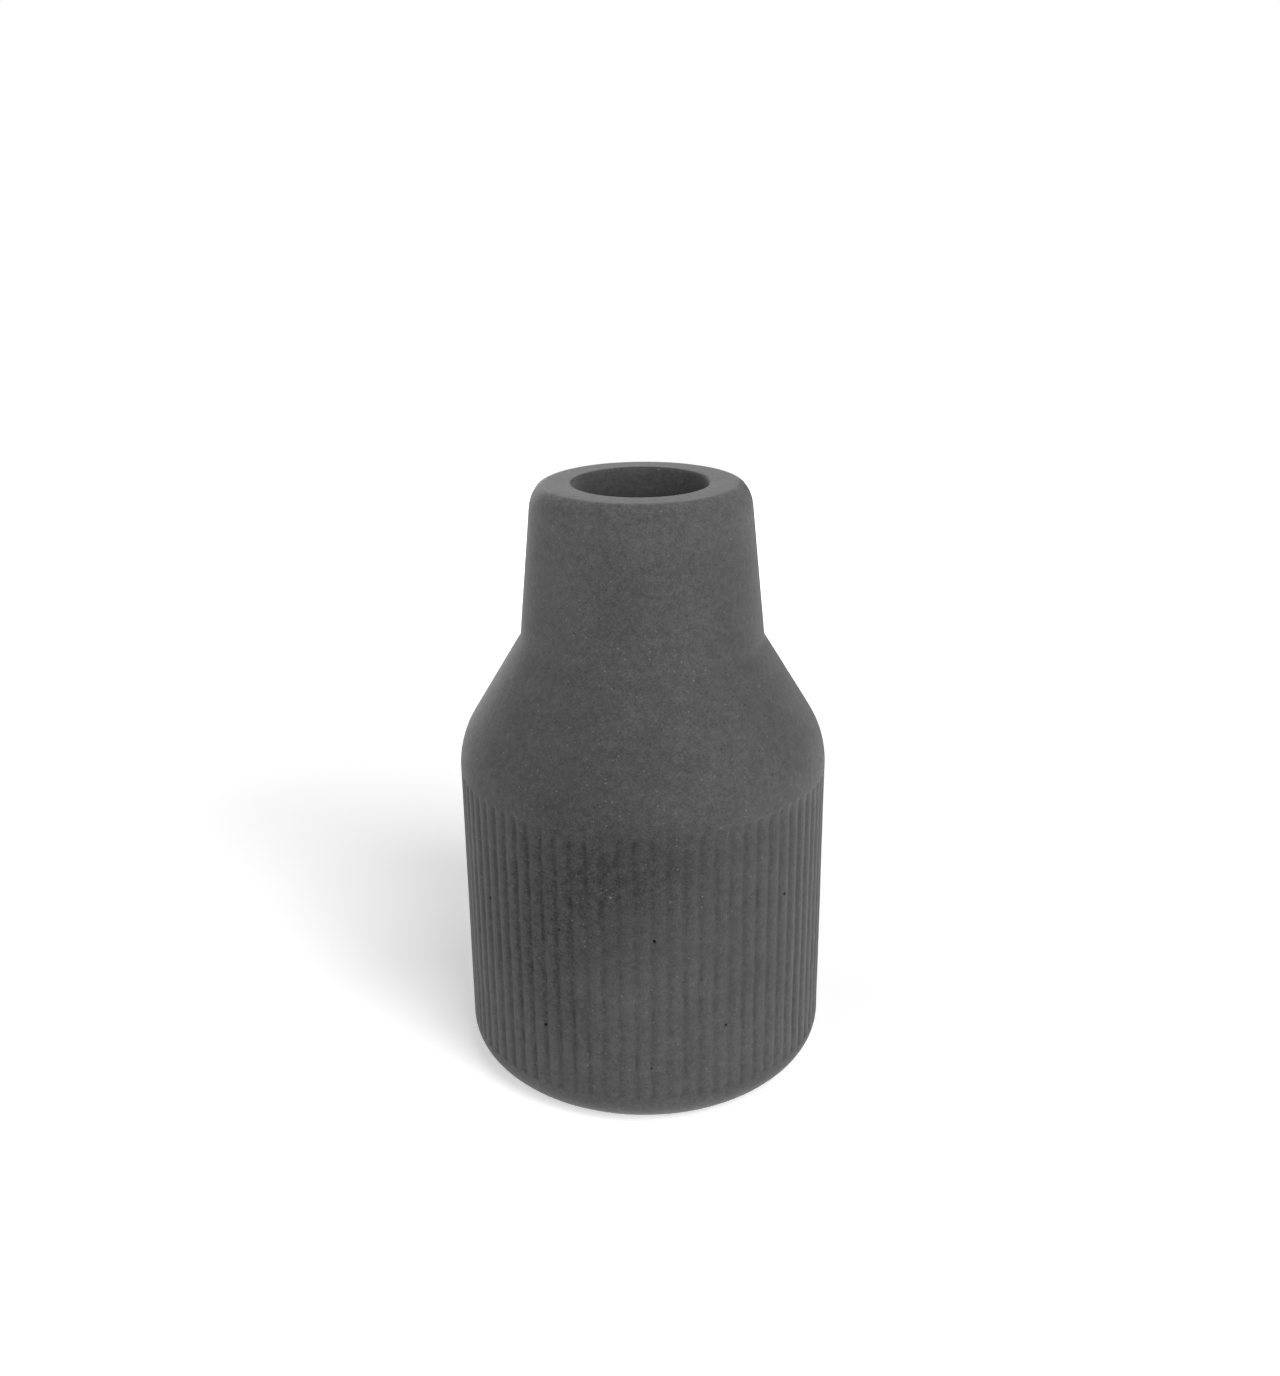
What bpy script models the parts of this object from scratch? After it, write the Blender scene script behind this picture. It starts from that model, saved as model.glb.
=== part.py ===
"""A small ribbed stoneware vase, built from the sections a potter forms and lutes together.

The vase stands on the XY plane with its axis on Z. Each section is turned from a profile, and
neighbouring sections locate on each other in a stepped joint: a tongue on the inner half of the
lower section stands up into a rebate in the upper one. Lengths are in metres.
"""

import math

import bmesh
import bpy
from mathutils import Matrix, Vector

# Outside
BODY_RADIUS = 0.0400  # top of the ribbed cylinder
BASE_RADIUS = 0.0402  # the cylinder spreads a little towards the floor
BODY_TOP = 0.0700  # where the shoulder starts to curve in
BASE_ROUND_OUT = 0.0110  # rounding between the foot and the cylinder, measured outwards
BASE_ROUND_UP = 0.0081  # and upwards
SHOULDER_RADIUS = 0.0200  # the curve from the cylinder into the cone
SHOULDER_TURN = math.radians(31.3)  # how far that curve leans in
CREASE_HEIGHT = 0.0984  # where the cone meets the neck
NECK_TAPER = math.radians(5.7)
HEIGHT = 0.1318
LIP_ROUND_IN = 0.0036  # rounding on the lip's outer edge, measured inwards
LIP_ROUND_DOWN = 0.0061  # and downwards

# Inside
MOUTH_RADIUS = 0.0142
MOUTH_EDGE = 0.0006  # rounding on the mouth's edge
MOUTH_DEPTH = 0.0125  # the straight part of the mouth
WALL = 0.0060
FLOOR_TOP = 0.0062  # the inside floor, on the glaze
FLOOR_CORNER = 0.0060
GLAZE = 0.0005

# Foot
FOOT_INNER_RADIUS = 0.0225
FOOT_RECESS = 0.0012
FOOT_CHAMFER = 0.0010

# Ribs
RIBS = 76
RIB_PHASE = math.radians(2.1)
RIB_BOTTOM = 0.0100
RIB_TOP = 0.0695
GROOVE_DEPTH = 0.00055
GROOVE_WIDTH = 0.0014
ROD_SIDES = 6  # flats around the rod that cuts a groove

# Joints
GAP = 0.0003  # the slip between two sections
TONGUE = 0.0025  # how far a tongue stands up

ROUND_STEPS = RIBS  # flats around a turned section, so that each rib has one
ARC_STEP = math.radians(18.0)  # flats along a curved outline
SMALL_ARC_STEP = math.radians(45.0)  # and along the small rounding of the mouth


def arc(centre_r, centre_z, size_r, size_z, start, end, step=ARC_STEP):
    """Points on an elliptical arc in the (r, z) half plane, from one angle to another."""
    count = max(2, math.ceil(abs(end - start) / step))
    angles = [start + (end - start) * i / count for i in range(count + 1)]
    return [(centre_r + size_r * math.cos(a), centre_z + size_z * math.sin(a)) for a in angles]


def lip_start():
    """The angle on the lip's rounding at which it leaves the neck's taper."""
    return math.atan2(LIP_ROUND_DOWN * math.sin(NECK_TAPER), LIP_ROUND_IN * math.cos(NECK_TAPER))


def lip_seam():
    """The height at which the neck ends and the lip's rounding starts."""
    return HEIGHT - LIP_ROUND_DOWN * (1 - math.sin(lip_start()))


def shoulder_end(inset=0.0):
    """Where the shoulder's curve becomes its straight cone, on a line set in from the outside."""
    radius = SHOULDER_RADIUS - inset
    return (
        BODY_RADIUS - SHOULDER_RADIUS + radius * math.cos(SHOULDER_TURN),
        BODY_TOP + radius * math.sin(SHOULDER_TURN),
    )


def outer_line():
    """The outside of the vase from the foot up to the lip's flat top."""
    cone_r, cone_z = shoulder_end()
    crease_r = cone_r - (CREASE_HEIGHT - cone_z) * math.tan(SHOULDER_TURN)
    lip_r = crease_r - (lip_seam() - CREASE_HEIGHT) * math.tan(NECK_TAPER)
    lip_centre_r = lip_r - LIP_ROUND_IN * math.cos(lip_start())
    foot_r = BASE_RADIUS - BASE_ROUND_OUT
    return (
        arc(foot_r, BASE_ROUND_UP, BASE_ROUND_OUT, BASE_ROUND_UP, -math.pi / 2, 0)
        + arc(BODY_RADIUS - SHOULDER_RADIUS, BODY_TOP, SHOULDER_RADIUS, SHOULDER_RADIUS, 0, SHOULDER_TURN)
        + [(crease_r, CREASE_HEIGHT)]
        + arc(lip_centre_r, HEIGHT - LIP_ROUND_DOWN, LIP_ROUND_IN, LIP_ROUND_DOWN, lip_start(), math.pi / 2)
    )


def inner_line(coat):
    """The inside, from the middle of the floor up to the mouth, set back by the coat's thickness."""
    side = BODY_RADIUS - WALL + coat
    floor = FLOOR_TOP - coat
    corner = FLOOR_CORNER + coat
    inset = WALL - coat
    turn = shoulder_end(inset)
    crease_r = outer_radius(CREASE_HEIGHT) - inset * math.cos(NECK_TAPER)
    crease_z = turn[1] + (turn[0] - crease_r) / math.tan(SHOULDER_TURN)
    mouth_z = HEIGHT - MOUTH_DEPTH
    return (
        [(0.0, floor)]
        + arc(side - corner, floor + corner, corner, corner, -math.pi / 2, 0)
        + arc(side - (SHOULDER_RADIUS - inset), BODY_TOP, SHOULDER_RADIUS - inset,
              SHOULDER_RADIUS - inset, 0, SHOULDER_TURN)
        + [(crease_r, crease_z), (MOUTH_RADIUS + coat, mouth_z)]
    )


def cross(line, height):
    """The point where a line that climbs reaches a height."""
    for (r0, z0), (r1, z1) in zip(line, line[1:]):
        if z0 <= height <= z1 and z1 > z0:
            return (r0 + (r1 - r0) * (height - z0) / (z1 - z0), height)
    raise ValueError(f"the line doesn't reach {height}")


def between(line, low, high):
    """The stretch of a climbing line from one height to another."""
    middle = [p for p in line if low + 1e-5 < p[1] < high - 1e-5]
    return [cross(line, low)] + middle + [cross(line, high)]


def up_to(line, high):
    """A climbing line from its own start, flat stretches included, to a height."""
    return [p for p in line if p[1] < high - 1e-5] + [cross(line, high)]


def outer_radius(height):
    return cross(outer_line(), height)[0]


def clay_inside():
    """The clay's own inside: set back for the glaze, and bare around the mouth."""
    mouth_z = HEIGHT - MOUTH_DEPTH
    return (
        inner_line(GLAZE + GAP)
        + [(MOUTH_RADIUS, mouth_z)]
        + arc(MOUTH_RADIUS + MOUTH_EDGE, HEIGHT - MOUTH_EDGE, MOUTH_EDGE, MOUTH_EDGE,
              math.pi, math.pi / 2, SMALL_ARC_STEP)
    )


def joint_radius(seam):
    """The middle of the wall at a seam, where the tongue's outer side stands."""
    return (outer_radius(seam) + cross(clay_inside(), seam)[0]) / 2


def tongue(seam):
    """The upper end of a section, from the tongue's top to the land outside it."""
    return [(joint_radius(seam), seam + TONGUE), (joint_radius(seam), seam)]


def rebate(seam):
    """The lower end of a section, from its outer land to the top of the rebate."""
    side = joint_radius(seam) + GAP
    return [(side, seam + GAP), (side, seam + TONGUE + GAP)]


def clay(name, shade, roughness):
    material = bpy.data.materials.new(name)
    material.use_nodes = True
    shader = material.node_tree.nodes["Principled BSDF"]
    shader.inputs["Base Color"].default_value = (shade, shade, shade, 1.0)
    shader.inputs["Roughness"].default_value = roughness
    shader.inputs["Metallic"].default_value = 0.0
    return material


def turned(name, profile, closed, shade, roughness=0.9, steps=ROUND_STEPS):
    """A solid of revolution. The profile climbs its inner side and comes down its outer one."""
    mesh = bpy.data.meshes.new(name)
    edges = [(i, i + 1) for i in range(len(profile) - 1)]
    if closed:
        edges.append((len(profile) - 1, 0))
    mesh.from_pydata([(r, 0.0, z) for r, z in profile], edges, [])
    mesh.materials.append(clay(name, shade, roughness))
    piece = bpy.data.objects.new(name, mesh)
    piece.rotation_euler.z = RIB_PHASE - math.pi / 2
    bpy.context.scene.collection.objects.link(piece)
    screw = piece.modifiers.new("Turn", "SCREW")
    screw.axis = "Z"
    screw.steps = steps
    screw.render_steps = steps
    screw.use_merge_vertices = True
    screw.merge_threshold = 0.00005
    screw.use_smooth_shade = True
    return piece


def base_slab():
    """The floor, with a turned foot ring under it and the rounded plain band around it."""
    seam = BASE_ROUND_UP
    profile = (
        up_to(clay_inside(), seam + TONGUE)
        + tongue(seam)
        + between(outer_line(), 0.0, seam)[::-1]
        + [(FOOT_INNER_RADIUS, 0.0)]
        + [(FOOT_INNER_RADIUS - FOOT_CHAMFER, FOOT_RECESS), (0.0, FOOT_RECESS)]
    )
    return turned("base_slab", profile, False, 0.16)


def ring_section(name, low_seam, high_seam, shade):
    """A section with a rebate below and a tongue above."""
    profile = (
        between(clay_inside(), low_seam + TONGUE + GAP, high_seam + TONGUE)
        + tongue(high_seam)
        + between(outer_line(), low_seam + GAP, high_seam)[::-1]
        + rebate(low_seam)
    )
    return turned(name, profile, True, shade)


def lip_ring(seam):
    """The thick coil on top of the neck, with the flat rim and the edge of the mouth."""
    profile = (
        between(clay_inside(), seam + TONGUE + GAP, HEIGHT)
        + between(outer_line(), seam + GAP, HEIGHT)[::-1]
        + rebate(seam)
    )
    return turned("lip_ring", profile, True, 0.2)


def inner_glaze():
    """The coat of glaze over the floor and up to the foot of the mouth."""
    top = HEIGHT - MOUTH_DEPTH - GAP
    profile = up_to(inner_line(0.0), top) + up_to(inner_line(GLAZE), top)[::-1]
    return turned("inner_glaze", profile, False, 0.12, 0.35, ROUND_STEPS // 2)


def groove_tool():
    """All the grooves between ribs as one cutter: a rounded rod for each, pointed at both ends."""
    radius = (GROOVE_WIDTH**2 / 4 + GROOVE_DEPTH**2) / (2 * GROOVE_DEPTH)
    axis_r = BODY_RADIUS - GROOVE_DEPTH + radius
    tool = bmesh.new()
    for rib in range(RIBS):
        turn = Matrix.Rotation(2 * math.pi * rib / RIBS, 4, "Z")
        rows = [[(axis_r, 0.0, RIB_BOTTOM)]]
        for height in (RIB_BOTTOM + radius, RIB_TOP - radius):
            spread = (BASE_RADIUS - BODY_RADIUS) * (BODY_TOP - height) / BODY_TOP
            corners = [math.tau * corner / ROD_SIDES for corner in range(ROD_SIDES)]
            rows.append([
                (axis_r + spread + radius * math.cos(a), radius * math.sin(a), height) for a in corners
            ])
        rows.append([(axis_r, 0.0, RIB_TOP)])
        rows = [[tool.verts.new(turn @ Vector(point)) for point in row] for row in rows]
        for low, high in zip(rows, rows[1:]):
            for side in range(ROD_SIDES):
                after = (side + 1) % ROD_SIDES
                corners = [low[side % len(low)], low[after % len(low)]]
                corners += [high[after % len(high)], high[side % len(high)]]
                tool.faces.new(dict.fromkeys(corners))
    bmesh.ops.recalc_face_normals(tool, faces=tool.faces)
    mesh = bpy.data.meshes.new("groove_tool")
    tool.to_mesh(mesh)
    tool.free()
    cutter = bpy.data.objects.new("groove_tool", mesh)
    cutter.rotation_euler.z = RIB_PHASE - math.pi / 2
    cutter.hide_render = True
    cutter.display_type = "WIRE"
    bpy.context.scene.collection.objects.link(cutter)
    return cutter


def ribbed_wall():
    """The cylinder wall, with the grooves that leave the ribs standing."""
    wall = ring_section("ribbed_wall", BASE_ROUND_UP, BODY_TOP, 0.14)
    cut = wall.modifiers.new("Grooves", "BOOLEAN")
    cut.operation = "DIFFERENCE"
    cut.solver = "EXACT"
    cut.object = groove_tool()
    return wall


def build():
    for existing in list(bpy.data.objects):
        bpy.data.objects.remove(existing)
    base_slab()
    ribbed_wall()
    ring_section("shoulder", BODY_TOP, CREASE_HEIGHT, 0.15)
    ring_section("neck", CREASE_HEIGHT, lip_seam(), 0.15)
    lip_ring(lip_seam())
    inner_glaze()


build()
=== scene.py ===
import itertools
import math

import bmesh
import bpy
import numpy as np
from mathutils import Matrix, Vector
from mathutils.kdtree import KDTree


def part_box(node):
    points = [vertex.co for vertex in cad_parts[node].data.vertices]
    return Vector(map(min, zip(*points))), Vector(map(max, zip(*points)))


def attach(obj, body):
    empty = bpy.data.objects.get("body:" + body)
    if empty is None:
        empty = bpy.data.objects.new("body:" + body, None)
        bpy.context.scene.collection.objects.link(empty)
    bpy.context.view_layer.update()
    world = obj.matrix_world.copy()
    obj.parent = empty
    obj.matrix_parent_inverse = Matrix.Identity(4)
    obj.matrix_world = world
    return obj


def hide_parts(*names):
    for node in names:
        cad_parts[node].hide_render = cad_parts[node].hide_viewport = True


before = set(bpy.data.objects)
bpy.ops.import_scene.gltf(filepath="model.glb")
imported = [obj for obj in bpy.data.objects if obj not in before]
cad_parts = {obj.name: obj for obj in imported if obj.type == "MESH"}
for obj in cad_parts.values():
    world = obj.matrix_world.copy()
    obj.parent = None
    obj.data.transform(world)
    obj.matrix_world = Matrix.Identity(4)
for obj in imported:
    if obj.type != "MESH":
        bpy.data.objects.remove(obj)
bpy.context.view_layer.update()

# The vase stands on z = 0, its axis is the Z axis, and it is seen from -Y.

# ---------------------------------------------------------------- sizes, in metres and radians

SLIP = 0.0003  # the CAD sections' gap; here the skin closes it
BASE_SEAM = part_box("ribbed_wall")[0].z - SLIP
SHOULDER_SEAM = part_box("shoulder")[0].z - SLIP
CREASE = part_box("neck")[0].z - SLIP
LIP_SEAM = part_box("lip_ring")[0].z - SLIP
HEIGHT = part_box("lip_ring")[1].z
MOUTH_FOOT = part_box("inner_glaze")[1].z + SLIP

BASE_RADIUS = 0.0402  # at the seam above the plain band
BODY_RADIUS = 0.0400  # at the shoulder's seam
FOOT_RADIUS = 0.0295
FOOT_INNER_RADIUS = 0.0225
FOOT_RECESS = 0.0012
FOOT_CHAMFER = 0.0010
SHOULDER_CURVE = 0.0200
SHOULDER_TURN = math.radians(31.3)
CREASE_CURVE = 0.0045  # the radius of the soft inside corner at the neck's seam
NECK_TAPER = math.radians(5.7)
LIP_ROUND_IN = 0.0036
LIP_ROUND_DOWN = 0.0061
MOUTH_RADIUS = 0.0142
MOUTH_EDGE = 0.0006
WALL = 0.0060
GLAZE = 0.0005
FLOOR_TOP = 0.0062  # the inside floor of the vase, on its glaze
FLOOR_CORNER = 0.0060
TONGUE = 0.0025  # how far a section's tongue stands up into the next section
TONGUE_TOP = LIP_SEAM + TONGUE

RIBS = 76
RIB_PHASE = 0.0367  # azimuth of the first groove
# How hand spacing shifts the grooves: by sine, by cosine, and by both at double rate.
RIB_DRIFT = (-0.0341, -0.0221, 0.0219, 0.0118)
RIB_BOTTOM = 0.00835
RIB_TOP = 0.0707
RIB_KEY = 7.31  # keeps the noise of neighbouring ribs apart
RIB_END = 0.0009  # over which a groove fades out
GROOVE_DEPTH = 0.00025
GROOVE_HALF = 0.00132  # half of a groove's width
GROOVE_PAINTED_SHADE_END = 0.0030  # the painted shade of a groove fades out over this below its top
CROWN = 0.00003  # how much a rib's own top is rounded

# Pinholes and chalky grains seen from the front: (azimuth in degrees, height in mm, radius in mm).
PINHOLES = (
    (-31.9, 23.3, 0.38), (24.8, 24.4, 0.35), (2.8, 46.7, 0.36), (46.8, 50.4, 0.4),
    (-25.7, 47.5, 0.25), (-54.9, 47.6, 0.27), (1.6, 16.3, 0.24),
)
CHALK_GRAINS = ((-9.7, 56.7, 0.2), (-10.9, 58.3, 0.14), (-9.0, 57.6, 0.13))
PIT_DEPTH = 1.3  # in radii of the pinhole
GRAIN_RISE = 0.25  # in radii of the grain
BACK_PINHOLES = 26  # scattered over the far side
MARK_REACH = 0.0009  # the mesh is refined this far past a mark's edge
MARK_CUTS = 5
MARK_PRESS = 0.0015  # a mark moves nothing that lies further than this from the surface
MARK_ROUND = 0.6  # how round its bowl is: the exponent of its depth
MARK_TINT = 2.5  # how soon its tint is full, from its edge inwards: painted shade in a pinhole, chalk in a grain
MARK_MARGIN = 0.001  # between a mark and a seam

# Soft spots that darken the clay where the amount is above 0 and make it paler below it:
# (azimuth in degrees, height in mm, spread in degrees, spread in mm, amount).
# The pale spots along the side edges of the neck and shoulder (azimuth 60 to 80 on either side,
# heights 70 to 110 mm) and on the lip and rim (heights from 127 mm) are painted highlight;
# the dark bands along the foot's lower edge (heights up to 8.5 mm) are painted shade.
ALL_ROUND = 999  # a spread that goes round the vase
STAINS_AND_PAINTED_LIGHT = (
    (-12, 64, 24, 9, 0.33), (-28, 46, 16, 14, 0.29), (-32, 31, 10, 10, 0.1), (-7, 27, 8, 8, -0.1),
    (0, 127, 60, 4, -0.1), (-56, 83, 14, 11, 0.12), (-62, 48, 10, 22, 0.08), (0, 60, 10, 9, 0.05),
    (-42, 34, 12, 20, 0.1), (-70, 14, 9, 8, 0.12), (-75, 108, 10, 22, -0.12),
    (74, 106, 10, 24, -0.12), (76, 78, 10, 9, -0.16), (180, 131.8, 75, 2.5, -0.18),
    (-58, 48, 13, 18, 0.11), (-45, 13, 18, 7, 0.08), (0, 40, ALL_ROUND, 18, 0.05),
    (62, 74, 12, 4, -0.1), (30, 77, 16, 5, -0.07), (35, 128.5, 38, 3, -0.08),
    (79, 84, 8, 15, -0.14), (72, 98, 7, 5, -0.08), (28, 88, 18, 8, -0.05), (15, 90, 10, 9, -0.06),
    (15, 75, 9, 4, -0.07), (55, 71.5, 14, 2.2, -0.09), (-25, 73, 8, 2.5, 0.09),
    (72, 72, 7, 5, -0.07), (-18.6, 37, 2, 4, -0.11), (-14, 35.5, 1.7, 4, -0.1),
    (-5, 34.5, 2.2, 3, -0.07),
    # (68, 8.5), (0, 4.2) and (58, 5.5) here and below are painted shade on the foot's lower edge.
    (-21, 28, 4, 3, 0.08), (68, 8.5, 10, 1.6, 0.1), (0, 4.2, ALL_ROUND, 2.2, 0.07),
    (58, 5.5, 24, 2.8, 0.12),
    (150, 50, 30, 16, 0.25), (-120, 85, 25, 14, 0.2), (110, 28, 20, 12, 0.15),  # on the far side
)
# Painted shade inside the mouth, deepest on its far left wall; the columns are those of the table
# above.
MOUTH_PAINTED_SHADE = ((-140, 126, 70, 7, 0.14), (130, 126, 40, 7, 0.02))
GROOVE_SHADE_SPOTS = (  # these act on the grooves' painted shade alone
    (-23, 14, 9, 9, 1.2), (-38, 17, 9, 9, 0.4), (-55, 21, 10, 10, 0.35), (68, 20, 9, 13, 0.9),
    (52, 20, 8, 9, 0.35), (3, 48, 14, 15, -0.35), (-8, 63, 9, 8, -0.3), (160, 30, 30, 16, 0.5),
    (-110, 55, 25, 14, -0.3),
)
LIP_WEAR_AND_HIGHLIGHT = 0.48  # how much paler the turn of the lip is: partly worn clay, partly painted highlight

SWELL = 0.00009  # how much fuller the body came out than it was turned
BODY_SHIFT = 0.00014  # how far the body sits off the neck's axis, towards -X

# What the surface is uneven by, from broad to fine: (height, width, seed).
WANDER = ((0.000045, 0.030, 11), (0.000028, 0.011, 12), (0.000014, 0.0042, 13))
SAND = ((0.0000050, 0.0016, 21), (0.0000042, 0.0008, 22), (0.0000040, 0.00045, 23))

# The mesh columns of one rib, in shares of its pitch, closest together in the groove.
COLUMNS = (-0.5, -0.37, -0.25, -0.16, -0.08, 0.0, 0.08, 0.16, 0.25, 0.37)
UNDERSIDE_HUB = 0.0012  # the radius of the first ring of points round the axis
INSIDE_HUB = 0.001
SHARP_CORNER = math.radians(38)

CLAY_TONE = 0.0443  # the clay's own grey
CLAY_DARKEST = 0.03  # the share of it that is left in a pinhole under its painted shade
GROOVE_PAINTED_SHADE = 0.19  # the share of it that a groove's painted shade takes off
DARK_SPECK = 0.45  # the share of it that a dark speck takes off
LIGHT_SPECK = 0.046  # the grey that a light speck adds
CHALK = 2.1  # what a chalky grain adds, in light specks
BUMP_HEIGHT = 0.00007

PAPER_RADIUS = 0.6
PAPER_SIDES = 96
PAPER_GLOW = ((0.16, 0.35), (0.46, 1.1))  # (distance, glow) where it starts and stops to rise
SOFTBOX_SIDE = 1.2
SOFTBOX_DISTANCE = 2.5
SOFTBOXES = {  # azimuth, 0 in front and 90 on the right; elevation; watts
    "key": (30, 45, 38),
    "front_left": (315, 18, 36),
    "front_right": (45, 18, 39),
    "right": (90, 18, 17),
    "left": (250, 12, 22),
    "back_right": (135, 18, 5),
}
FLAGGED_SOFTBOX = (200, 10, 48)  # a flag keeps this one off the table
CAMERA_LENS = 36.306
CAMERA_PLACE = Vector((-0.00008, -0.28274, 0.19381))
CAMERA_AHEAD = Vector((-0.00176, 0.93458, -0.35576))
CAMERA_RIGHT = Vector((0.99994, -0.00211, -0.01048))


# ---------------------------------------------------------------- noise

def hashed(cells, seed):
    """A number from -1 to 1 for each lattice cell, the same on every run."""
    mixed = cells @ np.array((374761393, 668265263, 1440662683)) + seed * 974634777
    mixed &= 0xFFFFFFFF
    mixed = ((mixed ^ (mixed >> 13)) * 1274126177) & 0xFFFFFFFF
    mixed ^= mixed >> 16
    return (mixed & 0xFFFFFF) / 0x7FFFFF - 1.0


def noise(points, cell, seed):
    """Smooth noise from -1 to 1 with features of the size of a cell."""
    scaled = np.asarray(points, float) / cell
    corner = np.floor(scaled)
    part = scaled - corner
    part = part * part * (3 - 2 * part)
    corner = corner.astype(np.int64)
    total = np.zeros(len(scaled))
    for step in itertools.product((0, 1), repeat=3):
        share = np.prod(np.where(step, part, 1 - part), axis=1)
        total += share * hashed(corner + np.array(step), seed)
    return total


def smooth(x):
    """x held between 0 and 1, with a soft start and a soft end."""
    x = np.clip(x, 0.0, 1.0)
    return x * x * (3 - 2 * x)


# ---------------------------------------------------------------- the outline

def stretch(start, end, spacing, ends=None):
    """Points along a straight stretch, closer together near its ends if asked."""
    (r0, z0), (r1, z1) = start, end
    length = math.hypot(r1 - r0, z1 - z0)
    if ends is None:
        share = np.linspace(0, 1, max(2, round(length / spacing) + 1))
    else:
        zone, fine = ends
        near = np.arange(0, zone, fine)
        middle = np.linspace(zone, length - zone, round((length - 2 * zone) / spacing) + 1)
        share = np.concatenate([near, middle, length - near[::-1]]) / length
    return np.stack([r0 + (r1 - r0) * share, z0 + (z1 - z0) * share], axis=1)


def arc(centre_r, centre_z, size_r, size_z, start, end, spacing):
    """Points along a part of an ellipse, as (radius, height)."""
    length = abs(end - start) * (size_r + size_z) / 2
    angles = np.linspace(start, end, max(3, round(length / spacing) + 1))
    return np.stack([
        centre_r + size_r * np.cos(angles),
        centre_z + size_z * np.sin(angles),
    ], axis=1)


def shoulder_end(inset=0.0):
    """Where the shoulder's curve runs out into its cone, on a line this far inside the skin."""
    radius = SHOULDER_CURVE - inset
    return (
        BODY_RADIUS - SHOULDER_CURVE + radius * math.cos(SHOULDER_TURN),
        SHOULDER_SEAM + radius * math.sin(SHOULDER_TURN),
    )


def crease_radius():
    """The radius at which the straight cone reaches the neck's seam."""
    cone_r, cone_z = shoulder_end()
    return cone_r - (CREASE - cone_z) * math.tan(SHOULDER_TURN)


def crease_curve():
    """The soft inside corner between cone and neck: its points below and above the seam."""
    half = (SHOULDER_TURN - NECK_TAPER) / 2
    reach = CREASE_CURVE * math.tan(half)
    corner = np.array((crease_radius(), CREASE))
    start = corner + reach * np.array((math.sin(SHOULDER_TURN), -math.cos(SHOULDER_TURN)))
    centre = start + CREASE_CURVE * np.array((math.cos(SHOULDER_TURN), math.sin(SHOULDER_TURN)))
    line = arc(*centre, CREASE_CURVE, CREASE_CURVE,
               math.pi + SHOULDER_TURN, math.pi + NECK_TAPER, 0.00022)
    middle = len(line) // 2
    return line[:middle + 1], line[middle:]


def skin_strokes():
    """The outside in named strokes, from the middle of the underside over the lip and in."""
    lip_start = math.atan2(LIP_ROUND_DOWN * math.sin(NECK_TAPER),
                           LIP_ROUND_IN * math.cos(NECK_TAPER))
    lip_r = crease_radius() - (LIP_SEAM - CREASE) * math.tan(NECK_TAPER)
    flat_r = lip_r - LIP_ROUND_IN * math.cos(lip_start)
    recess_r = FOOT_INNER_RADIUS - FOOT_CHAMFER
    below_crease, above_crease = crease_curve()
    return {
        "recess": stretch((UNDERSIDE_HUB, FOOT_RECESS), (recess_r, FOOT_RECESS), 0.0005),
        "chamfer": stretch((recess_r, FOOT_RECESS), (FOOT_INNER_RADIUS, 0.0), 0.0004),
        "foot": stretch((FOOT_INNER_RADIUS, 0.0), (FOOT_RADIUS, 0.0), 0.0007),
        "band": arc(FOOT_RADIUS, BASE_SEAM, BASE_RADIUS - FOOT_RADIUS, BASE_SEAM,
                    -math.pi / 2, 0, 0.0005),
        "wall": stretch((BASE_RADIUS, BASE_SEAM), (BODY_RADIUS, SHOULDER_SEAM),
                        0.00073, (0.0042, 0.0003)),
        "curve": arc(BODY_RADIUS - SHOULDER_CURVE, SHOULDER_SEAM, SHOULDER_CURVE, SHOULDER_CURVE,
                     0, SHOULDER_TURN, 0.0003),
        "cone": np.concatenate([stretch(shoulder_end(), below_crease[0], 0.0005),
                                below_crease[1:]]),
        "neck": np.concatenate([above_crease,
                                stretch(above_crease[-1], (lip_r, LIP_SEAM), 0.0005)[1:]]),
        "lip": arc(flat_r, HEIGHT - LIP_ROUND_DOWN, LIP_ROUND_IN, LIP_ROUND_DOWN,
                   lip_start, math.pi / 2, 0.0003),
        "rim": stretch((flat_r, HEIGHT), (MOUTH_RADIUS + MOUTH_EDGE, HEIGHT), 0.0004),
        "edge": arc(MOUTH_RADIUS + MOUTH_EDGE, HEIGHT - MOUTH_EDGE, MOUTH_EDGE, MOUTH_EDGE,
                    math.pi / 2, math.pi, 0.00016),
        "mouth": stretch((MOUTH_RADIUS, HEIGHT - MOUTH_EDGE), (MOUTH_RADIUS, TONGUE_TOP), 0.0004),
        "throat": stretch((MOUTH_RADIUS, TONGUE_TOP), (MOUTH_RADIUS, MOUTH_FOOT), 0.0004),
    }


def normals(line):
    """The outward normal at each point of a line that climbs the outside."""
    along = np.gradient(line, axis=0)
    along /= np.maximum(np.linalg.norm(along, axis=1, keepdims=True), 1e-12)
    return np.stack([along[:, 1], -along[:, 0]], axis=1)


def skin():
    """(points, normals, {stroke: (first, last)}) of the outside. Strokes share their ends."""
    points, places = [], {}
    for name, stroke in skin_strokes().items():
        if points:
            stroke = stroke[1:]
            places[name] = (len(points) - 1, len(points) + len(stroke) - 1)
        else:
            places[name] = (0, len(stroke) - 1)
        points.extend(stroke)
    points = np.array(points)
    return points, normals(points), places


SKIN, SKIN_NORMALS, PLACES = skin()


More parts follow.
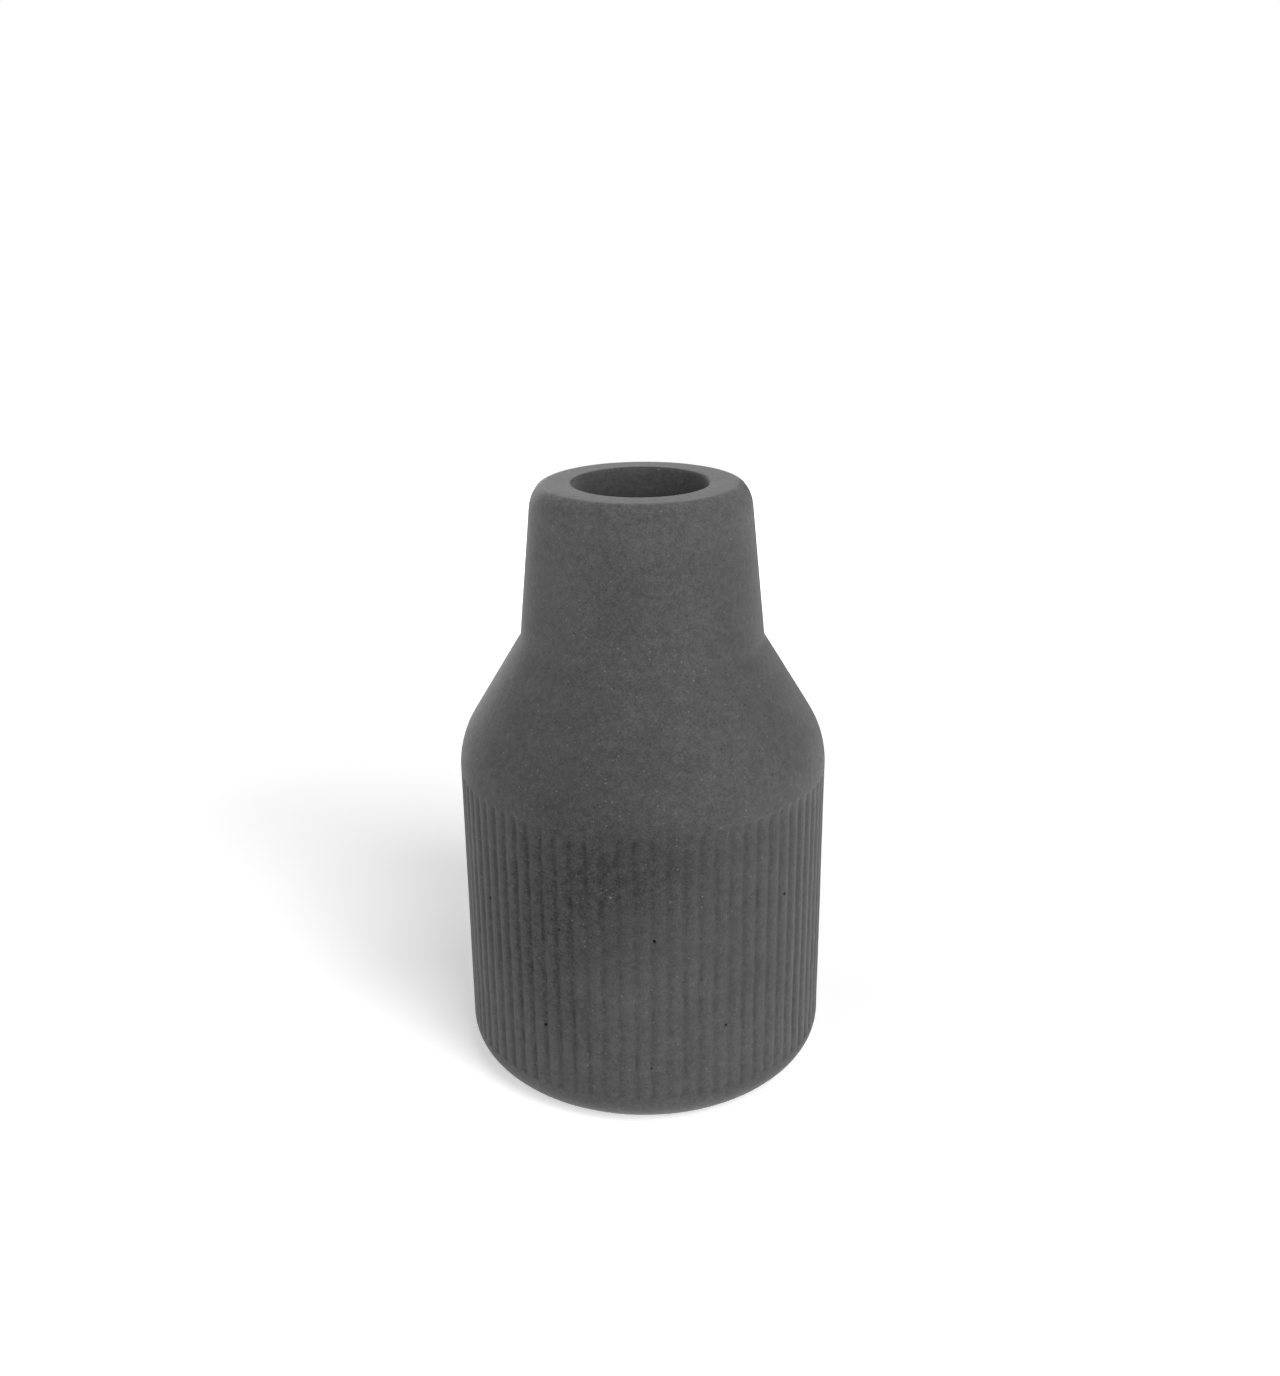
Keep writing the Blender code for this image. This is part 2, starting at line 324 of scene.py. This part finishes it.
def inner_line(coat):
    """The inside from the floor up to the foot of the mouth, set back by the coat's thickness."""
    side = BODY_RADIUS - WALL + coat
    floor, corner, inset = FLOOR_TOP - coat, FLOOR_CORNER + coat, WALL - coat
    turn_r, turn_z = shoulder_end(inset)
    neck_r = crease_radius() - inset * math.cos(NECK_TAPER)
    neck_z = turn_z + (turn_r - neck_r) / math.tan(SHOULDER_TURN)
    curve = SHOULDER_CURVE - inset
    strokes = [
        stretch((INSIDE_HUB, floor), (side - corner, floor), 0.001),
        arc(side - corner, floor + corner, corner, corner, -math.pi / 2, 0, 0.0007),
        stretch((side, floor + corner), (side, SHOULDER_SEAM), 0.002),
        arc(side - curve, SHOULDER_SEAM, curve, curve, 0, SHOULDER_TURN, 0.0008),
        stretch((turn_r, turn_z), (neck_r, neck_z), 0.001),
        stretch((neck_r, neck_z), (MOUTH_RADIUS + coat, MOUTH_FOOT), 0.001),
    ]
    return np.concatenate([strokes[0]] + [stroke[1:] for stroke in strokes[1:]])


def at_height(line, height):
    """The radius of a climbing line at a height."""
    return float(np.interp(height, line[:, 1], line[:, 0]))


def inside_between(low, high):
    """A few points of the clay's inside between two heights, climbing."""
    line = inner_line(GLAZE + SLIP)
    return [(at_height(line, height), height) for height in np.linspace(low, high, 6)]


def joint_radius(seam):
    """The radius of the tongue at a seam, halfway through the wall."""
    inside = at_height(inner_line(GLAZE + SLIP), seam) if seam < MOUTH_FOOT else MOUTH_RADIUS
    outside = at_height(SKIN[PLACES["band"][0]:PLACES["lip"][1]], seam)
    return (inside + outside) / 2


# ---------------------------------------------------------------- the surface

def column_turns():
    """(rib count, azimuth) of each mesh column. Azimuth 0 faces -Y and grows towards +X."""
    even = (np.arange(RIBS)[:, None] + np.array(COLUMNS)[None, :]).ravel()
    angle = even * 2 * math.pi / RIBS
    sine, cosine, sine2, cosine2 = RIB_DRIFT
    drift = (sine * np.sin(angle) + cosine * (np.cos(angle) - 1)
             + sine2 * np.sin(2 * angle) + cosine2 * (np.cos(2 * angle) - 1))
    return even, angle + RIB_PHASE + drift


EVEN, AZIMUTH = column_turns()


def placed(radius, height, azimuth):
    """Points in space from radius, height and azimuth."""
    return np.stack([
        radius * np.sin(azimuth),
        -radius * np.cos(azimuth),
        height + 0 * azimuth,
    ], axis=-1)


def shifted(points):
    """The body sits a hair off the neck's axis."""
    share = 1 - smooth((points[:, 2] - CREASE + 0.001) / 0.002)
    points[:, 0] -= BODY_SHIFT * share
    return points


def hand(points):
    """How the thrown and handled clay wanders from a perfect turned shape."""
    lift = SWELL * (1 - smooth((points[:, 2] - CREASE + 0.002) / 0.004))
    for height, cell, seed in WANDER:
        lift = lift + height * noise(points, cell, seed)
    return lift


def grain(points):
    """The dry, sandy surface of the clay."""
    lift = 0.0
    for height, cell, seed in SAND:
        lift = lift + height * noise(points, cell, seed)
    return lift


def clouds(points, spots):
    """The sum of a table of soft spots at each point."""
    azimuth = np.degrees(np.arctan2(points[:, 0], -points[:, 1]))
    total = np.zeros(len(points))
    for spot_azimuth, spot_height, wide, tall, amount in spots:
        turn = (azimuth - spot_azimuth + 180) % 360 - 180
        rise = points[:, 2] * 1000 - spot_height
        total += amount * np.exp(-0.5 * ((turn / wide) ** 2 + (rise / tall) ** 2))
    return total


def stains_and_painted_light(points):
    """How much darker the fired clay is made at each point, by stains and by painted light and
    shade, with the turn of the lip paler: partly worn, partly painted highlight.
    """
    radius, height = np.hypot(points[:, 0], points[:, 1]), points[:, 2]
    in_mouth = (radius < MOUTH_RADIUS + MOUTH_EDGE / 2) & (height > MOUTH_FOOT - 0.001)
    total = np.where(in_mouth, clouds(points, MOUTH_PAINTED_SHADE), clouds(points, STAINS_AND_PAINTED_LIGHT))
    flat_r = SKIN[PLACES["rim"][0], 0]
    turned = np.where(height > LIP_SEAM, (radius - flat_r) / LIP_ROUND_IN, 0)
    return total - LIP_WEAR_AND_HIGHLIGHT * smooth(turned / 0.12) * (1 - smooth((turned - 0.12) / 0.75))


def groove(even, height):
    """How far the wall lies below the plain cylinder, and how much painted shade the groove has
    there, 0 to 1.
    """
    rib = np.round(even)
    spot = np.stack([rib * RIB_KEY, height / 0.001, 0 * rib], axis=-1)
    key = np.stack([rib * RIB_KEY, 0 * rib, 0 * rib], axis=-1)
    pitch = 2 * math.pi * BODY_RADIUS / RIBS
    wander = 0.00007 * noise(spot, 9.0, 31) + 0.00003 * noise(spot, 3.0, 32)
    across = (even - rib) * pitch + wander
    depth = GROOVE_DEPTH * (1 + 0.18 * noise(key, 1.0, 33) + 0.16 * noise(spot, 6.0, 34))
    low = RIB_BOTTOM + 0.0003 * noise(key, 1.0, 35)
    high = RIB_TOP + 0.0002 * noise(key, 1.0, 36)
    fade = smooth((height - low) / RIB_END) * smooth((high - height) / RIB_END)
    valley = 0.5 + 0.5 * np.cos(math.pi * np.clip(across / GROOVE_HALF, -1, 1))
    crown = 0.5 + 0.5 * np.cos(2 * math.pi * across / pitch)
    tint = valley ** 1.7 * fade * smooth((high - height) / GROOVE_PAINTED_SHADE_END)
    return (depth * valley + CROWN * crown) * fade, tint


def sunk(radius, height, normal, even, azimuth, ribbed):
    """Surface points and the mask of the grooves' painted shade for a grid of rows and columns."""
    rows, columns = len(radius), len(azimuth)
    base = placed(radius[:, None], height[:, None], azimuth[None, :]).reshape(-1, 3)
    out = np.stack([
        np.outer(normal[:, 0], np.sin(azimuth)),
        -np.outer(normal[:, 0], np.cos(azimuth)),
        np.outer(normal[:, 1], np.ones(columns)),
    ], axis=-1).reshape(-1, 3)
    lift = hand(base) + grain(base)
    mask = np.zeros(len(base))
    if ribbed is not None:
        many_even = np.tile(even, rows)
        many_height = np.repeat(height, columns)
        hollow, mask = groove(many_even, many_height)
        inside = np.repeat(ribbed, columns)
        lift -= hollow * inside
        mask *= inside
    return shifted(base + out * lift[:, None]), mask


# ---------------------------------------------------------------- meshes

def ring_faces(rows, columns, closed):
    """Quads between neighbouring rows, wound so that a line climbing the outside faces out."""
    row = np.arange(rows if closed else rows - 1)
    after = (row + 1) % rows
    column = np.arange(columns)
    beside = (column + 1) % columns
    quads = np.stack([
        row[:, None] * columns + column[None, :],
        row[:, None] * columns + beside[None, :],
        after[:, None] * columns + beside[None, :],
        after[:, None] * columns + column[None, :],
    ], axis=-1)
    return quads.reshape(-1, 4)


def piece_from_rows(name, points, normal, shown, closed, poles=(), ribbed=None, step=1):
    """A closed turned piece. points climb the outside and come down the inside.

    Only the shown rows get the clay's surface, and only every step-th mesh column is kept.
    """
    radius, height = points[:, 0], points[:, 1]
    wanted = np.where(shown)[0]
    even, azimuth = EVEN[::step], AZIMUTH[::step]
    grid = placed(radius[:, None], height[:, None], azimuth[None, :])
    mask = np.zeros(grid.shape[:2])
    made, hollow = sunk(radius[wanted], height[wanted], normal[wanted], even, azimuth,
                        None if ribbed is None else ribbed[wanted])
    grid[wanted] = made.reshape(len(wanted), len(azimuth), 3)
    mask[wanted] = hollow.reshape(len(wanted), len(azimuth))
    rows, columns = grid.shape[:2]
    vertices = grid.reshape(-1, 3)
    faces = ring_faces(rows, columns, closed).tolist()
    # the grooves' painted shade, deeper or lighter spot by spot
    mask = mask.ravel() * (1 + clouds(vertices, GROOVE_SHADE_SPOTS))
    for row, height_at_pole, flip in poles:
        pole = len(vertices)
        vertices = np.vstack([vertices, [[0.0, 0.0, height_at_pole]]])
        mask = np.append(mask, 0.0)
        ring = row * columns + np.arange(columns)
        beside = np.roll(ring, -1)
        pair = (beside, ring) if flip else (ring, beside)
        faces += np.stack([pair[0], pair[1], np.full(columns, pole)], axis=-1).tolist()
    mesh = bpy.data.meshes.new(name)
    mesh.from_pydata(vertices.tolist(), [], faces)
    mesh.validate()
    none = np.zeros(len(mask))
    # hollow carries the grooves' painted shade, dark the stains and painted light and shade; the
    # pinholes' painted shade and the chalk are set by marked().
    fields = {"hollow": mask, "pinhole_shade": none, "chalk": none, "dark": stains_and_painted_light(vertices)}
    for key, values in fields.items():
        field = mesh.attributes.new(key, "FLOAT", "POINT")
        field.data.foreach_set("value", values.astype(np.float32))
    mesh.shade_smooth()
    mesh.set_sharp_from_angle(angle=SHARP_CORNER)
    piece = bpy.data.objects.new(name, mesh)
    bpy.context.scene.collection.objects.link(piece)
    return piece


def skin_rows(first, last):
    """The skin's rows from one stroke's start to another's end, with their normals."""
    low, high = PLACES[first][0], PLACES[last][1]
    return SKIN[low:high + 1], SKIN_NORMALS[low:high + 1]


def joined(stretches):
    """(points, normals, which show) of a piece, from (points, their normals or None if hidden)."""
    points = np.concatenate([np.array(line) for line, _ in stretches])
    normal = np.concatenate([
        np.zeros((len(line), 2)) if out is None else out for line, out in stretches
    ])
    shown = np.concatenate([np.full(len(line), out is not None) for line, out in stretches])
    return points, normal, shown


def section(name, first, last, below, above, ribbed=False):
    """A section of the wall: its skin, a tongue above it, its inside and a rebate below it."""
    side, rebate = joint_radius(above), joint_radius(below) + SLIP
    low_inside, top = below + TONGUE + SLIP, above + TONGUE
    points, normal, shown = joined([
        skin_rows(first, last),
        ([(side, above), (side, top)], None),
        (inside_between(low_inside, top)[::-1], None),
        ([(rebate, low_inside), (rebate, below)], None),
    ])
    flags = np.where(shown, 1.0, 0.0) if ribbed else None
    return piece_from_rows(name, points, normal, shown, True, ribbed=flags)


def neck_piece():
    """The neck, whose tongue carries the lower part of the mouth."""
    side, rebate = joint_radius(LIP_SEAM), joint_radius(CREASE) + SLIP
    low_inside = CREASE + TONGUE + SLIP
    points, normal, shown = joined([
        skin_rows("neck", "neck"),
        ([(side, LIP_SEAM), (side, TONGUE_TOP - SLIP)], None),
        skin_rows("throat", "throat"),
        (inside_between(low_inside, MOUTH_FOOT)[::-1], None),
        ([(rebate, low_inside), (rebate, CREASE)], None),
    ])
    return piece_from_rows("neck_skin", points, normal, shown, True)


def base_piece():
    """The floor with the foot ring, closed at both ends on the axis."""
    side = joint_radius(BASE_SEAM)
    top = BASE_SEAM + TONGUE
    line = inner_line(GLAZE + SLIP)
    inside = [tuple(p) for p in line if p[1] < top - 1e-5] + [(at_height(line, top), top)]
    points, normal, shown = joined([
        skin_rows("recess", "band"),
        ([(side, BASE_SEAM), (side, top)] + inside[::-1], None),
    ])
    poles = [(0, FOOT_RECESS, True), (len(points) - 1, line[0][1], False)]
    return piece_from_rows("base_slab_skin", points, normal, shown, False, poles)


def lip_piece():
    """The lip with the mouth's edge, down to its joint with the neck."""
    side = joint_radius(LIP_SEAM) + SLIP
    points, normal, shown = joined([
        skin_rows("lip", "mouth"),
        ([(side, TONGUE_TOP + SLIP), (side, LIP_SEAM)], None),
    ])
    return piece_from_rows("lip_ring_skin", points, normal, shown, True)


def glaze_piece():
    """The liner glaze: its inside is the skin that shows through the mouth."""
    inside = inner_line(0.0)[::-1]
    back = inner_line(GLAZE)
    back[-1, 1] -= SLIP
    points, normal, shown = joined([(back, None), (inside, normals(inside))])
    poles = [(0, back[0, 1], True), (len(points) - 1, inside[-1, 1], False)]
    return piece_from_rows("inner_glaze_skin", points, normal, shown, False, poles, step=5)


def outside_spot(azimuth, height):
    """A point on the outside and its outward normal."""
    low, high = PLACES["band"][0], PLACES["lip"][1]
    line, out = SKIN[low:high + 1], SKIN_NORMALS[low:high + 1]
    radius = float(np.interp(height, line[:, 1], line[:, 0]))
    tilt = [float(np.interp(height, line[:, 1], out[:, axis])) for axis in (0, 1)]
    point = shifted(placed(np.array([radius]), np.array([height]), np.array([azimuth])))[0]
    normal = Vector((tilt[0] * math.sin(azimuth), -tilt[0] * math.cos(azimuth), tilt[1]))
    return Vector(point), normal


def marks():
    """Every pinhole and chalky grain: (point, normal, radius, depth)."""
    dice = np.random.default_rng(7)
    found = [(*spot, PIT_DEPTH) for spot in PINHOLES]
    found += [(*spot, -GRAIN_RISE) for spot in CHALK_GRAINS]
    for _ in range(BACK_PINHOLES):
        spot = dice.uniform(85, 275), dice.uniform(13, 122), dice.uniform(0.14, 0.33)
        found.append((*spot, PIT_DEPTH))
    return [
        (*outside_spot(math.radians(azimuth), height / 1000), radius / 1000, deep * radius / 1000)
        for azimuth, height, radius, deep in found
    ]


def marked(piece, low, high):
    """Refines the mesh round each mark between two heights, presses the mark in or out, and tints
    it: painted shade in a pinhole, chalk in a grain.
    """
    wanted = [mark for mark in marks() if low < mark[0].z < high]
    mesh = bmesh.new()
    mesh.from_mesh(piece.data)
    vertices = list(mesh.verts)
    tree = KDTree(len(vertices))
    for index, vertex in enumerate(vertices):
        tree.insert(vertex.co, index)
    tree.balance()
    near = set()
    for point, _, radius, _ in wanted:
        near.update(index for _, index, _ in tree.find_range(point, MARK_REACH + radius))
    edges = {edge for index in sorted(near) for edge in vertices[index].link_edges}
    edges = sorted(edges, key=lambda edge: edge.index)
    bmesh.ops.subdivide_edges(mesh, edges=edges, cuts=MARK_CUTS, use_grid_fill=True)
    mesh.to_mesh(piece.data)
    mesh.free()

    data = piece.data
    spots = np.empty(len(data.vertices) * 3)
    data.vertices.foreach_get("co", spots)
    spots = spots.reshape(-1, 3)
    fields = {"pinhole_shade": np.zeros(len(spots)), "chalk": np.zeros(len(spots))}
    for point, normal, radius, depth in wanted:
        offset = spots - np.array(point)
        deep = offset @ np.array(normal)
        share = 1 - ((offset ** 2).sum(axis=1) - deep ** 2) / radius ** 2
        hit = (share > 0) & (np.abs(deep) < MARK_PRESS)
        spots[hit] -= np.outer(share[hit] ** MARK_ROUND * depth, normal)
        fields["pinhole_shade" if depth > 0 else "chalk"][hit] = np.minimum(1, MARK_TINT * share[hit])
    data.vertices.foreach_set("co", spots.ravel())
    for key, values in fields.items():
        data.attributes[key].data.foreach_set("value", values.astype(np.float32))
    data.update()


piece_makers = {  # for each node of the CAD, what makes its visual piece
    "base_slab": base_piece,
    "ribbed_wall": lambda: section(
        "ribbed_wall_skin", "wall", "wall", BASE_SEAM, SHOULDER_SEAM, ribbed=True),
    "shoulder": lambda: section(
        "shoulder_skin", "curve", "cone", SHOULDER_SEAM, CREASE, ribbed=True),
    "neck": neck_piece,
    "lip_ring": lip_piece,
    "inner_glaze": glaze_piece,
}


# ---------------------------------------------------------------- materials

def stoneware():
    """Dry dark grey clay: mottled and speckled, darker in its stains, with painted shade in its
    grooves and pinholes and painted light and shade in some of its spots.
    """
    material = bpy.data.materials.new("dark_stoneware")
    material.use_nodes = True
    tree = material.node_tree
    shader = tree.nodes["Principled BSDF"]
    place = tree.nodes.new("ShaderNodeTexCoord").outputs["Object"]

    def cloud(scale, detail, rough=0.55, squash=(1, 1, 1)):
        """Soft noise. Its clouds run long across or upright where squash is small."""
        spread = tree.nodes.new("ShaderNodeVectorMath")
        spread.operation = "MULTIPLY"
        spread.inputs[1].default_value = squash
        tree.links.new(place, spread.inputs[0])
        made = tree.nodes.new("ShaderNodeTexNoise")
        tree.links.new(spread.outputs["Vector"], made.inputs["Vector"])
        made.inputs["Scale"].default_value = scale
        made.inputs["Detail"].default_value = detail
        made.inputs["Roughness"].default_value = rough
        return made.outputs["Fac"]

    def mapped(value, to_low, to_high, low=0.3, high=0.7):
        """Another range for a value. low to high is where nearly all of a cloud lies."""
        made = tree.nodes.new("ShaderNodeMapRange")
        tree.links.new(value, made.inputs["Value"])
        made.inputs["From Min"].default_value = low
        made.inputs["From Max"].default_value = high
        made.inputs["To Min"].default_value = to_low
        made.inputs["To Max"].default_value = to_high
        return made.outputs["Result"]

    def maths(kind, first, second):
        made = tree.nodes.new("ShaderNodeMath")
        made.operation = kind
        for socket, value in zip(made.inputs, (first, second)):
            if isinstance(value, (int, float)):
                socket.default_value = value
            else:
                tree.links.new(value, socket)
        return made.outputs["Value"]

    broad = mapped(cloud(45, 2), 0.93, 1.07)
    patch = mapped(cloud(190, 3), 0.92, 1.08)
    mottle = mapped(cloud(900, 3, 0.6), 0.83, 1.17)
    fine = mapped(cloud(2600, 2, 0.6), 0.78, 1.22)
    turning = mapped(cloud(420, 2, 0.5, (0.28, 0.28, 1.3)), 0.955, 1.045)
    tone = maths("MULTIPLY", maths("MULTIPLY", broad, patch), maths("MULTIPLY", mottle, fine))
    tone = maths("MULTIPLY", tone, turning)

    def specks(scale, size, share, salt):
        """A mask of sparse round grains of one size. Another salt puts them in other places."""
        shift = tree.nodes.new("ShaderNodeVectorMath")
        shift.operation = "ADD"
        shift.inputs[1].default_value = (salt, salt * 0.37, -salt * 0.61)
        tree.links.new(place, shift.inputs[0])
        cells = tree.nodes.new("ShaderNodeTexVoronoi")
        cells.inputs["Scale"].default_value = scale
        tree.links.new(shift.outputs[0], cells.inputs["Vector"])
        near = mapped(cells.outputs["Distance"], 1.0, 0.0, size * 0.6, size)
        pick = tree.nodes.new("ShaderNodeSeparateColor")
        tree.links.new(cells.outputs["Color"], pick.inputs["Color"])
        chosen = maths("LESS_THAN", pick.outputs["Red"], share)
        return maths("MULTIPLY", near, chosen)

    light = specks(800, 0.17, 0.2, 0.13)
    dark = specks(760, 0.2, 0.12, 0.29)

    def attribute(name):
        made = tree.nodes.new("ShaderNodeAttribute")
        made.attribute_name = name
        return made.outputs["Fac"]

    # The stains and painted light and shade of the dark attribute, blotched.
    blots = mapped(cloud(620, 2), 0.62, 1.38)
    blot_grain = mapped(cloud(2300, 3, 0.7), 0.35, 1.65)
    blotched_stains_and_light = maths("MULTIPLY", attribute("dark"), maths("MULTIPLY", blots, blot_grain))
    streaks = mapped(cloud(1300, 3, 0.5, (1, 1, 0.22)), 0.3, 1.7)
    breaks = mapped(cloud(90, 2), 0.45, 1.55)
    # Painted shade in the grooves, broken up by streaks.
    grooves = maths("MULTIPLY", attribute("hollow"), GROOVE_PAINTED_SHADE)
    grooves = maths("MULTIPLY", grooves, maths("MULTIPLY", streaks, breaks))
    # The pinholes' painted shade is added here too.
    shaded = maths("ADD", maths("ADD", grooves, blotched_stains_and_light), attribute("pinhole_shade"))
    tone = maths("MULTIPLY", tone, maths("MAXIMUM", maths("SUBTRACT", 1.0, shaded), CLAY_DARKEST))
    light = maths("ADD", light, maths("MULTIPLY", attribute("chalk"), CHALK))
    grey = maths("MULTIPLY", tone, CLAY_TONE)
    grey = maths("MULTIPLY", grey, maths("SUBTRACT", 1.0, maths("MULTIPLY", dark, DARK_SPECK)))
    grey = maths("ADD", grey, maths("MULTIPLY", light, LIGHT_SPECK))
    colour = tree.nodes.new("ShaderNodeCombineColor")
    for channel in ("Red", "Green", "Blue"):
        tree.links.new(grey, colour.inputs[channel])
    tree.links.new(colour.outputs["Color"], shader.inputs["Base Color"])
    tree.links.new(mapped(cloud(700, 2), 0.78, 0.95), shader.inputs["Roughness"])

    sand = maths("ADD", cloud(2400, 3, 0.65), maths("MULTIPLY", cloud(900, 2), 0.8))
    bump = tree.nodes.new("ShaderNodeBump")
    bump.inputs["Strength"].default_value = 0.5
    bump.inputs["Distance"].default_value = BUMP_HEIGHT
    tree.links.new(sand, bump.inputs["Height"])
    tree.links.new(bump.outputs["Normal"], shader.inputs["Normal"])
    shader.inputs["IOR"].default_value = 1.45
    shader.inputs["Specular IOR Level"].default_value = 0.25
    shader.inputs["Sheen Weight"].default_value = 0.15
    shader.inputs["Sheen Roughness"].default_value = 0.5
    return material


def liner():
    """The thin glaze inside, dark and a little glossy."""
    material = bpy.data.materials.new("liner_glaze")
    material.use_nodes = True
    tree = material.node_tree
    shader = tree.nodes["Principled BSDF"]
    place = tree.nodes.new("ShaderNodeTexCoord").outputs["Object"]
    cloud = tree.nodes.new("ShaderNodeTexNoise")
    cloud.inputs["Scale"].default_value = 260
    cloud.inputs["Detail"].default_value = 3
    tree.links.new(place, cloud.inputs["Vector"])
    ramp = tree.nodes.new("ShaderNodeValToRGB")
    ramp.color_ramp.elements[0].position = 0.3
    ramp.color_ramp.elements[0].color = (0.05, 0.05, 0.05, 1)
    ramp.color_ramp.elements[1].position = 0.7
    ramp.color_ramp.elements[1].color = (0.075, 0.075, 0.075, 1)
    tree.links.new(cloud.outputs["Fac"], ramp.inputs["Fac"])
    tree.links.new(ramp.outputs["Color"], shader.inputs["Base Color"])
    shader.inputs["Roughness"].default_value = 0.38
    return material


# ---------------------------------------------------------------- stage

def paper_floor():
    """A round table of white paper that glows, which is painted light: it lightens the vase's
    shadows near the vase and brightens outwards until it is as white as the studio.
    """
    mesh = bpy.data.meshes.new("paper_floor")
    turns = np.linspace(0, 2 * math.pi, PAPER_SIDES, endpoint=False)
    rim = [(PAPER_RADIUS * math.cos(turn), PAPER_RADIUS * math.sin(turn), 0) for turn in turns]
    mesh.from_pydata(rim, [], [tuple(range(PAPER_SIDES))])
    floor = bpy.data.objects.new("paper_floor", mesh)
    bpy.context.scene.collection.objects.link(floor)
    material = bpy.data.materials.new("glowing_white_paper")
    material.use_nodes = True
    tree = material.node_tree
    shader = tree.nodes["Principled BSDF"]
    shader.inputs["Base Color"].default_value = (0.86, 0.86, 0.86, 1)
    shader.inputs["Roughness"].default_value = 0.9
    shader.inputs["Specular IOR Level"].default_value = 0.1
    shader.inputs["Emission Color"].default_value = (1, 1, 1, 1)
    place = tree.nodes.new("ShaderNodeTexCoord")
    distance = tree.nodes.new("ShaderNodeVectorMath")
    distance.operation = "LENGTH"
    glow = tree.nodes.new("ShaderNodeMapRange")
    glow.interpolation_type = "SMOOTHSTEP"
    for end, (far, strength) in zip(("Min", "Max"), PAPER_GLOW):
        glow.inputs["From " + end].default_value = far
        glow.inputs["To " + end].default_value = strength
    tree.links.new(place.outputs["Object"], distance.inputs[0])
    tree.links.new(distance.outputs["Value"], glow.inputs["Value"])
    tree.links.new(glow.outputs["Result"], shader.inputs["Emission Strength"])
    floor.data.materials.append(material)


def softbox(name, azimuth, elevation, power):
    """A big square softbox that looks at the middle of the vase."""
    aim = Vector((0, 0, HEIGHT / 2))
    turn, lift = math.radians(azimuth), math.radians(elevation)
    level = math.cos(lift)
    way = Vector((math.sin(turn) * level, -math.cos(turn) * level, math.sin(lift)))
    data = bpy.data.lights.new(name, "AREA")
    data.shape = "SQUARE"
    data.size = SOFTBOX_SIDE
    data.energy = power
    lamp = bpy.data.objects.new(name, data)
    lamp.location = aim + way * SOFTBOX_DISTANCE
    lamp.rotation_mode = "QUATERNION"
    lamp.rotation_quaternion = way.to_track_quat("Z", "Y")
    lamp.visible_camera = False
    bpy.context.scene.collection.objects.link(lamp)
    return lamp


def studio():
    """White surroundings and the lights. It returns the collection that the flagged one lights."""
    world = bpy.data.worlds.new("studio")
    bpy.context.scene.world = world
    world.use_nodes = True
    world.node_tree.nodes["Background"].inputs["Color"].default_value = (1, 1, 1, 1)
    world.node_tree.nodes["Background"].inputs["Strength"].default_value = 1.0
    world.cycles_visibility.diffuse = world.cycles_visibility.glossy = False
    for name, (azimuth, elevation, power) in SOFTBOXES.items():
        softbox(name, azimuth, elevation, power)
    flagged = softbox("back", *FLAGGED_SOFTBOX)
    flagged.light_linking.receiver_collection = bpy.data.collections.new("vase_only")
    return flagged.light_linking.receiver_collection


def camera():
    """A camera a little above the vase, close to it, and looking down at it."""
    scene = bpy.context.scene
    data = bpy.data.cameras.new("camera")
    data.sensor_width = 36.0
    data.lens = CAMERA_LENS
    made = bpy.data.objects.new("camera", data)
    ahead, right = CAMERA_AHEAD.normalized(), CAMERA_RIGHT.normalized()
    up = right.cross(ahead)
    turn = Matrix((right, up, -ahead)).transposed()
    made.matrix_world = Matrix.Translation(CAMERA_PLACE) @ turn.to_4x4()
    scene.collection.objects.link(made)
    scene.camera = made
    scene.view_settings.view_transform = "Standard"


camera()
vase_only = studio()
paper_floor()
mark_zones = {
    "base_slab": (0, BASE_SEAM - MARK_MARGIN),
    "ribbed_wall": (BASE_SEAM + MARK_MARGIN, SHOULDER_SEAM - MARK_MARGIN),
    "shoulder": (SHOULDER_SEAM + MARK_MARGIN, CREASE - MARK_MARGIN),
    "neck": (CREASE + MARK_MARGIN, LIP_SEAM - MARK_MARGIN),
}
clay = stoneware()
glaze = liner()
for cad_node, make in piece_makers.items():
    piece = make()
    if cad_node in mark_zones:
        marked(piece, *mark_zones[cad_node])
    piece.data.materials.append(glaze if cad_node == "inner_glaze" else clay)
    vase_only.objects.link(piece)
    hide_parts(cad_node)
    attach(piece, "root")
